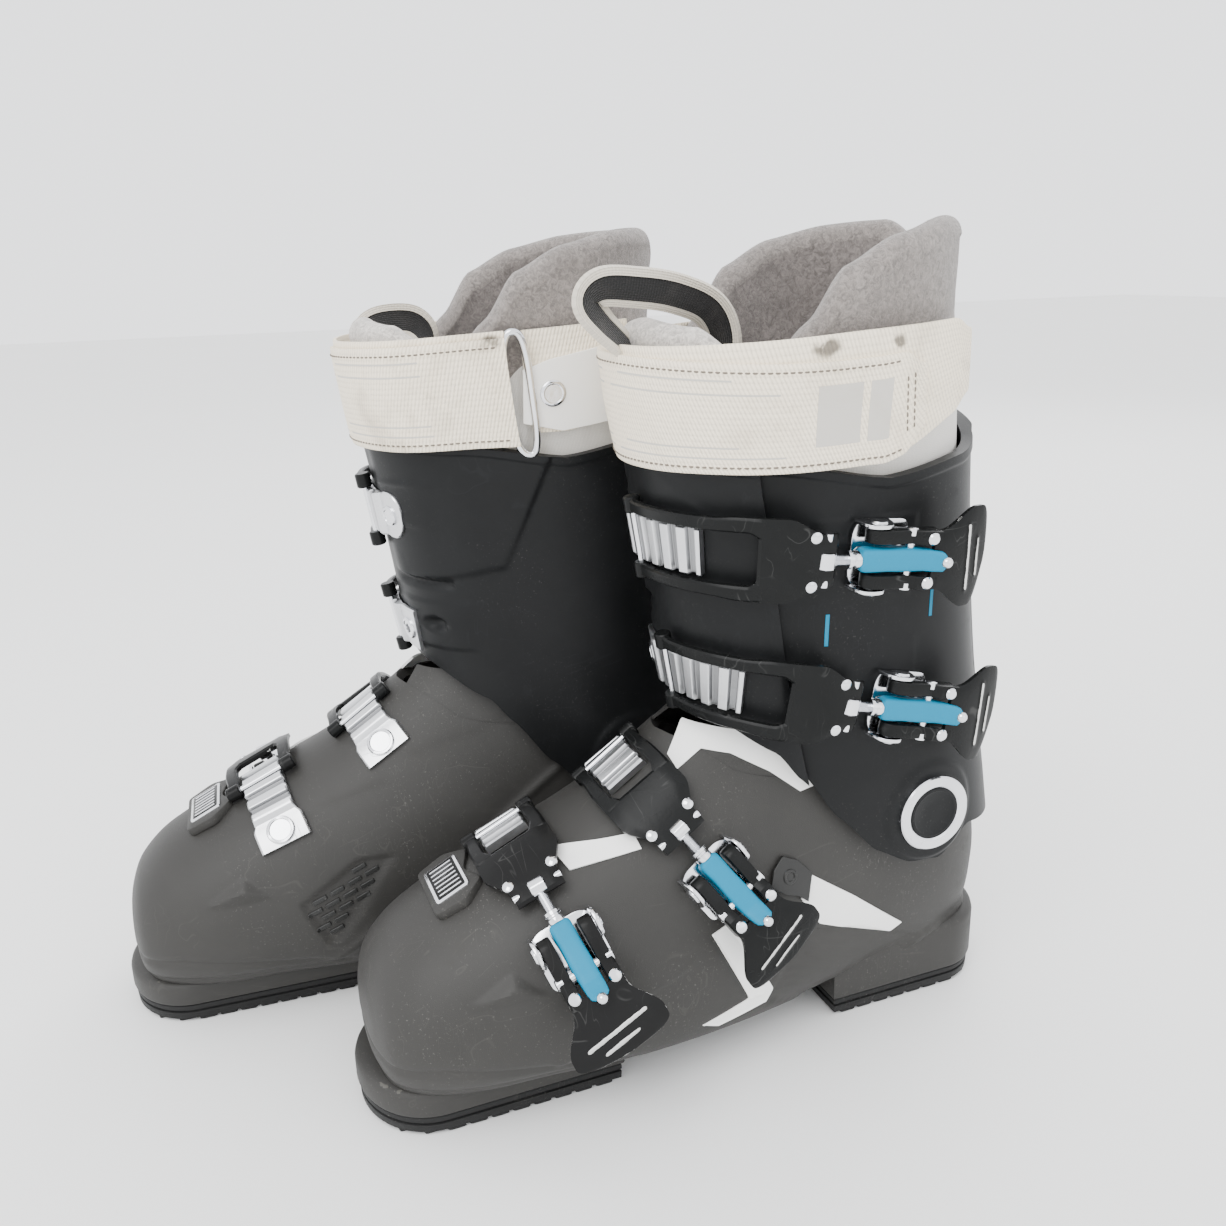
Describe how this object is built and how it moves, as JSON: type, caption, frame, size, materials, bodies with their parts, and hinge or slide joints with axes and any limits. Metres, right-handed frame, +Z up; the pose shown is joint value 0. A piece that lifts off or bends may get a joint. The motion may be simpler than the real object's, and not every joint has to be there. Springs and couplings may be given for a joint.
{
  "type": "pair of alpine ski boots",
  "caption": "Pair of hard-shell alpine ski boots with hinged cuffs, toothed ladder buckles, power straps and soft liners, standing side by side.",
  "frame": {"origin": "on the ground under the middle of the pair's bounding box", "axes": "+Z up; toes towards -Y; the wearer's left boot at +X; each boot turned out 1.85 degrees"},
  "size_m": [0.2632, 0.3868, 0.3425],
  "materials": {
    "shell_plastic": "matte warm dark grey moulded plastic, scuffed",
    "cuff_plastic": "satin near-black moulded plastic",
    "sole_rubber": "black sole plates",
    "liner_felt": "grey fleece lining in a white outer skin",
    "webbing": "off-white woven webbing",
    "bright_metal": "bright cast and pressed metal",
    "lever_paint": "gloss black paint, chipped to bare metal at the edges",
    "adjuster_paint": "turquoise lacquer"
  },
  "bodies": {
    "shells": {"left_lower_shell": "shell_plastic", "left_toe_sole": "sole_rubber", "left_heel_sole": "sole_rubber", "left_liner_foot": "liner_felt", "left_pivot_rivet_lateral": "bright_metal", "left_pivot_rivet_medial": "bright_metal", "left_toe_buckle_base": "bright_metal", "left_toe_ladder": "bright_metal", "left_instep_buckle_base": "bright_metal", "left_instep_ladder": "bright_metal", "right_lower_shell": "shell_plastic", "right_toe_sole": "sole_rubber", "right_heel_sole": "sole_rubber", "right_liner_foot": "liner_felt", "right_pivot_rivet_lateral": "bright_metal", "right_pivot_rivet_medial": "bright_metal", "right_toe_buckle_base": "bright_metal", "right_toe_ladder": "bright_metal", "right_instep_buckle_base": "bright_metal", "right_instep_ladder": "bright_metal"},
    "left_cuff_group": {"left_cuff": "cuff_plastic", "left_liner_shaft": "liner_felt", "left_liner_tongue": "liner_felt", "left_power_strap": "webbing", "left_ankle_buckle_base": "bright_metal", "left_ankle_ladder": "bright_metal", "left_calf_buckle_base": "bright_metal", "left_calf_ladder": "bright_metal"},
    "left_toe_lever": {"left_toe_lever": "lever_paint"},
    "left_toe_adjuster": {"left_toe_adjuster": "adjuster_paint"},
    "left_toe_bail": {"left_toe_bail": "lever_paint"},
    "left_instep_lever": {"left_instep_lever": "lever_paint"},
    "left_instep_adjuster": {"left_instep_adjuster": "adjuster_paint"},
    "left_instep_bail": {"left_instep_bail": "lever_paint"},
    "left_ankle_lever": {"left_ankle_lever": "lever_paint"},
    "left_ankle_adjuster": {"left_ankle_adjuster": "adjuster_paint"},
    "left_ankle_bail": {"left_ankle_bail": "lever_paint"},
    "left_calf_lever": {"left_calf_lever": "lever_paint"},
    "left_calf_adjuster": {"left_calf_adjuster": "adjuster_paint"},
    "left_calf_bail": {"left_calf_bail": "lever_paint"},
    "right_cuff_group": {"right_cuff": "cuff_plastic", "right_liner_shaft": "liner_felt", "right_liner_tongue": "liner_felt", "right_power_strap": "webbing", "right_ankle_buckle_base": "bright_metal", "right_ankle_ladder": "bright_metal", "right_calf_buckle_base": "bright_metal", "right_calf_ladder": "bright_metal"},
    "right_toe_lever": {"right_toe_lever": "lever_paint"},
    "right_toe_adjuster": {"right_toe_adjuster": "adjuster_paint"},
    "right_toe_bail": {"right_toe_bail": "lever_paint"},
    "right_instep_lever": {"right_instep_lever": "lever_paint"},
    "right_instep_adjuster": {"right_instep_adjuster": "adjuster_paint"},
    "right_instep_bail": {"right_instep_bail": "lever_paint"},
    "right_ankle_lever": {"right_ankle_lever": "lever_paint"},
    "right_ankle_adjuster": {"right_ankle_adjuster": "adjuster_paint"},
    "right_ankle_bail": {"right_ankle_bail": "lever_paint"},
    "right_calf_lever": {"right_calf_lever": "lever_paint"},
    "right_calf_adjuster": {"right_calf_adjuster": "adjuster_paint"},
    "right_calf_bail": {"right_calf_bail": "lever_paint"}
  },
  "joints": [
    {"name": "left_cuff_flex", "type": "hinge", "parent": "shells", "child": "left_cuff_group", "pos_m": [0.04931, 0.13595, 0.105], "axis": [0.9995, 0.0323, 0], "range_deg": [0, 8], "stiffness_Nm_per_rad": 120},
    {"name": "left_toe_lever_turn", "type": "hinge", "parent": "shells", "child": "left_toe_lever", "pos_m": [0.10427, -0.02488, 0.0858], "axis": [0.0465, -0.9412, -0.3346], "range_deg": [0, 100]},
    {"name": "left_toe_adjuster_turn", "type": "hinge", "parent": "left_toe_lever", "child": "left_toe_adjuster", "pos_m": [0.11354, -0.02131, 0.07706], "axis": [0.0465, -0.9412, -0.3346], "range_deg": [-105, 0]},
    {"name": "left_toe_bail_turn", "type": "hinge", "parent": "left_toe_adjuster", "child": "left_toe_bail", "pos_m": [0.08779, -0.03101, 0.09996], "axis": [0.0113, -0.9285, -0.3711], "range_deg": [-10, 0]},
    {"name": "left_instep_lever_turn", "type": "hinge", "parent": "shells", "child": "left_instep_lever", "pos_m": [0.10277, 0.03796, 0.0993], "axis": [0.2019, -0.8347, -0.5123], "range_deg": [0, 100]},
    {"name": "left_instep_adjuster_turn", "type": "hinge", "parent": "left_instep_lever", "child": "left_instep_adjuster", "pos_m": [0.10919, 0.0451, 0.09019], "axis": [0.2019, -0.8347, -0.5123], "range_deg": [-100, 0]},
    {"name": "left_instep_bail_turn", "type": "hinge", "parent": "left_instep_adjuster", "child": "left_instep_bail", "pos_m": [0.09265, 0.02636, 0.11464], "axis": [0.1477, -0.8534, -0.4999], "range_deg": [-10, 0]},
    {"name": "left_ankle_lever_turn", "type": "hinge", "parent": "left_cuff_group", "child": "left_ankle_lever", "pos_m": [0.10824, 0.11181, 0.15884], "axis": [0.0142, -0.1957, -0.9806], "range_deg": [0, 100]},
    {"name": "left_ankle_adjuster_turn", "type": "hinge", "parent": "left_ankle_lever", "child": "left_ankle_adjuster", "pos_m": [0.11093, 0.12453, 0.15634], "axis": [0.0142, -0.1957, -0.9806], "range_deg": [-110, 0]},
    {"name": "left_ankle_bail_turn", "type": "hinge", "parent": "left_ankle_adjuster", "child": "left_ankle_bail", "pos_m": [0.10737, 0.09272, 0.16209], "axis": [-0.0504, -0.1772, -0.9829], "range_deg": [-10, 0]},
    {"name": "left_calf_lever_turn", "type": "hinge", "parent": "left_cuff_group", "child": "left_calf_lever", "pos_m": [0.10956, 0.09875, 0.22136], "axis": [-0.0791, -0.0623, -0.9949], "range_deg": [0, 100]},
    {"name": "left_calf_adjuster_turn", "type": "hinge", "parent": "left_calf_lever", "child": "left_calf_adjuster", "pos_m": [0.11268, 0.11157, 0.22031], "axis": [-0.0791, -0.0623, -0.9949], "range_deg": [-110, 0]},
    {"name": "left_calf_bail_turn", "type": "hinge", "parent": "left_calf_adjuster", "child": "left_calf_bail", "pos_m": [0.1086, 0.07923, 0.22222], "axis": [-0.1094, -0.0333, -0.9934], "range_deg": [-10, 0]},
    {"name": "right_cuff_flex", "type": "hinge", "parent": "shells", "child": "right_cuff_group", "pos_m": [-0.04931, 0.04595, 0.105], "axis": [0.9995, -0.0323, 0], "range_deg": [0, 8], "stiffness_Nm_per_rad": 120},
    {"name": "right_toe_lever_turn", "type": "hinge", "parent": "shells", "child": "right_toe_lever", "pos_m": [-0.10427, -0.11488, 0.0858], "axis": [0.0465, 0.9412, 0.3346], "range_deg": [0, 100]},
    {"name": "right_toe_adjuster_turn", "type": "hinge", "parent": "right_toe_lever", "child": "right_toe_adjuster", "pos_m": [-0.11354, -0.11131, 0.07706], "axis": [0.0465, 0.9412, 0.3346], "range_deg": [-105, 0]},
    {"name": "right_toe_bail_turn", "type": "hinge", "parent": "right_toe_adjuster", "child": "right_toe_bail", "pos_m": [-0.08779, -0.12101, 0.09996], "axis": [0.0113, 0.9285, 0.3711], "range_deg": [-10, 0]},
    {"name": "right_instep_lever_turn", "type": "hinge", "parent": "shells", "child": "right_instep_lever", "pos_m": [-0.10277, -0.05204, 0.0993], "axis": [0.2019, 0.8347, 0.5123], "range_deg": [0, 100]},
    {"name": "right_instep_adjuster_turn", "type": "hinge", "parent": "right_instep_lever", "child": "right_instep_adjuster", "pos_m": [-0.10919, -0.0449, 0.09019], "axis": [0.2019, 0.8347, 0.5123], "range_deg": [-100, 0]},
    {"name": "right_instep_bail_turn", "type": "hinge", "parent": "right_instep_adjuster", "child": "right_instep_bail", "pos_m": [-0.09265, -0.06364, 0.11464], "axis": [0.1477, 0.8534, 0.4999], "range_deg": [-10, 0]},
    {"name": "right_ankle_lever_turn", "type": "hinge", "parent": "right_cuff_group", "child": "right_ankle_lever", "pos_m": [-0.10824, 0.02181, 0.15884], "axis": [0.0142, 0.1957, 0.9806], "range_deg": [0, 100]},
    {"name": "right_ankle_adjuster_turn", "type": "hinge", "parent": "right_ankle_lever", "child": "right_ankle_adjuster", "pos_m": [-0.11093, 0.03453, 0.15634], "axis": [0.0142, 0.1957, 0.9806], "range_deg": [-110, 0]},
    {"name": "right_ankle_bail_turn", "type": "hinge", "parent": "right_ankle_adjuster", "child": "right_ankle_bail", "pos_m": [-0.10737, 0.00272, 0.16209], "axis": [-0.0504, 0.1772, 0.9829], "range_deg": [-10, 0]},
    {"name": "right_calf_lever_turn", "type": "hinge", "parent": "right_cuff_group", "child": "right_calf_lever", "pos_m": [-0.10956, 0.00875, 0.22136], "axis": [-0.0791, 0.0623, 0.9949], "range_deg": [0, 100]},
    {"name": "right_calf_adjuster_turn", "type": "hinge", "parent": "right_calf_lever", "child": "right_calf_adjuster", "pos_m": [-0.11268, 0.02157, 0.22031], "axis": [-0.0791, 0.0623, 0.9949], "range_deg": [-110, 0]},
    {"name": "right_calf_bail_turn", "type": "hinge", "parent": "right_calf_adjuster", "child": "right_calf_bail", "pos_m": [-0.1086, -0.01077, 0.22222], "axis": [-0.1094, 0.0333, 0.9934], "range_deg": [-10, 0]}
  ],
  "couplings": [
    {"joint": "left_toe_adjuster_turn", "follows": "left_toe_lever_turn", "ratio": -1.05},
    {"joint": "left_toe_bail_turn", "follows": "left_toe_lever_turn", "ratio": -0.1},
    {"joint": "left_instep_adjuster_turn", "follows": "left_instep_lever_turn", "ratio": -1},
    {"joint": "left_instep_bail_turn", "follows": "left_instep_lever_turn", "ratio": -0.1},
    {"joint": "left_ankle_adjuster_turn", "follows": "left_ankle_lever_turn", "ratio": -1.1},
    {"joint": "left_ankle_bail_turn", "follows": "left_ankle_lever_turn", "ratio": -0.1},
    {"joint": "left_calf_adjuster_turn", "follows": "left_calf_lever_turn", "ratio": -1.1},
    {"joint": "left_calf_bail_turn", "follows": "left_calf_lever_turn", "ratio": -0.1},
    {"joint": "right_toe_adjuster_turn", "follows": "right_toe_lever_turn", "ratio": -1.05},
    {"joint": "right_toe_bail_turn", "follows": "right_toe_lever_turn", "ratio": -0.1},
    {"joint": "right_instep_adjuster_turn", "follows": "right_instep_lever_turn", "ratio": -1},
    {"joint": "right_instep_bail_turn", "follows": "right_instep_lever_turn", "ratio": -0.1},
    {"joint": "right_ankle_adjuster_turn", "follows": "right_ankle_lever_turn", "ratio": -1.1},
    {"joint": "right_ankle_bail_turn", "follows": "right_ankle_lever_turn", "ratio": -0.1},
    {"joint": "right_calf_adjuster_turn", "follows": "right_calf_lever_turn", "ratio": -1.1},
    {"joint": "right_calf_bail_turn", "follows": "right_calf_lever_turn", "ratio": -0.1}
  ]
}
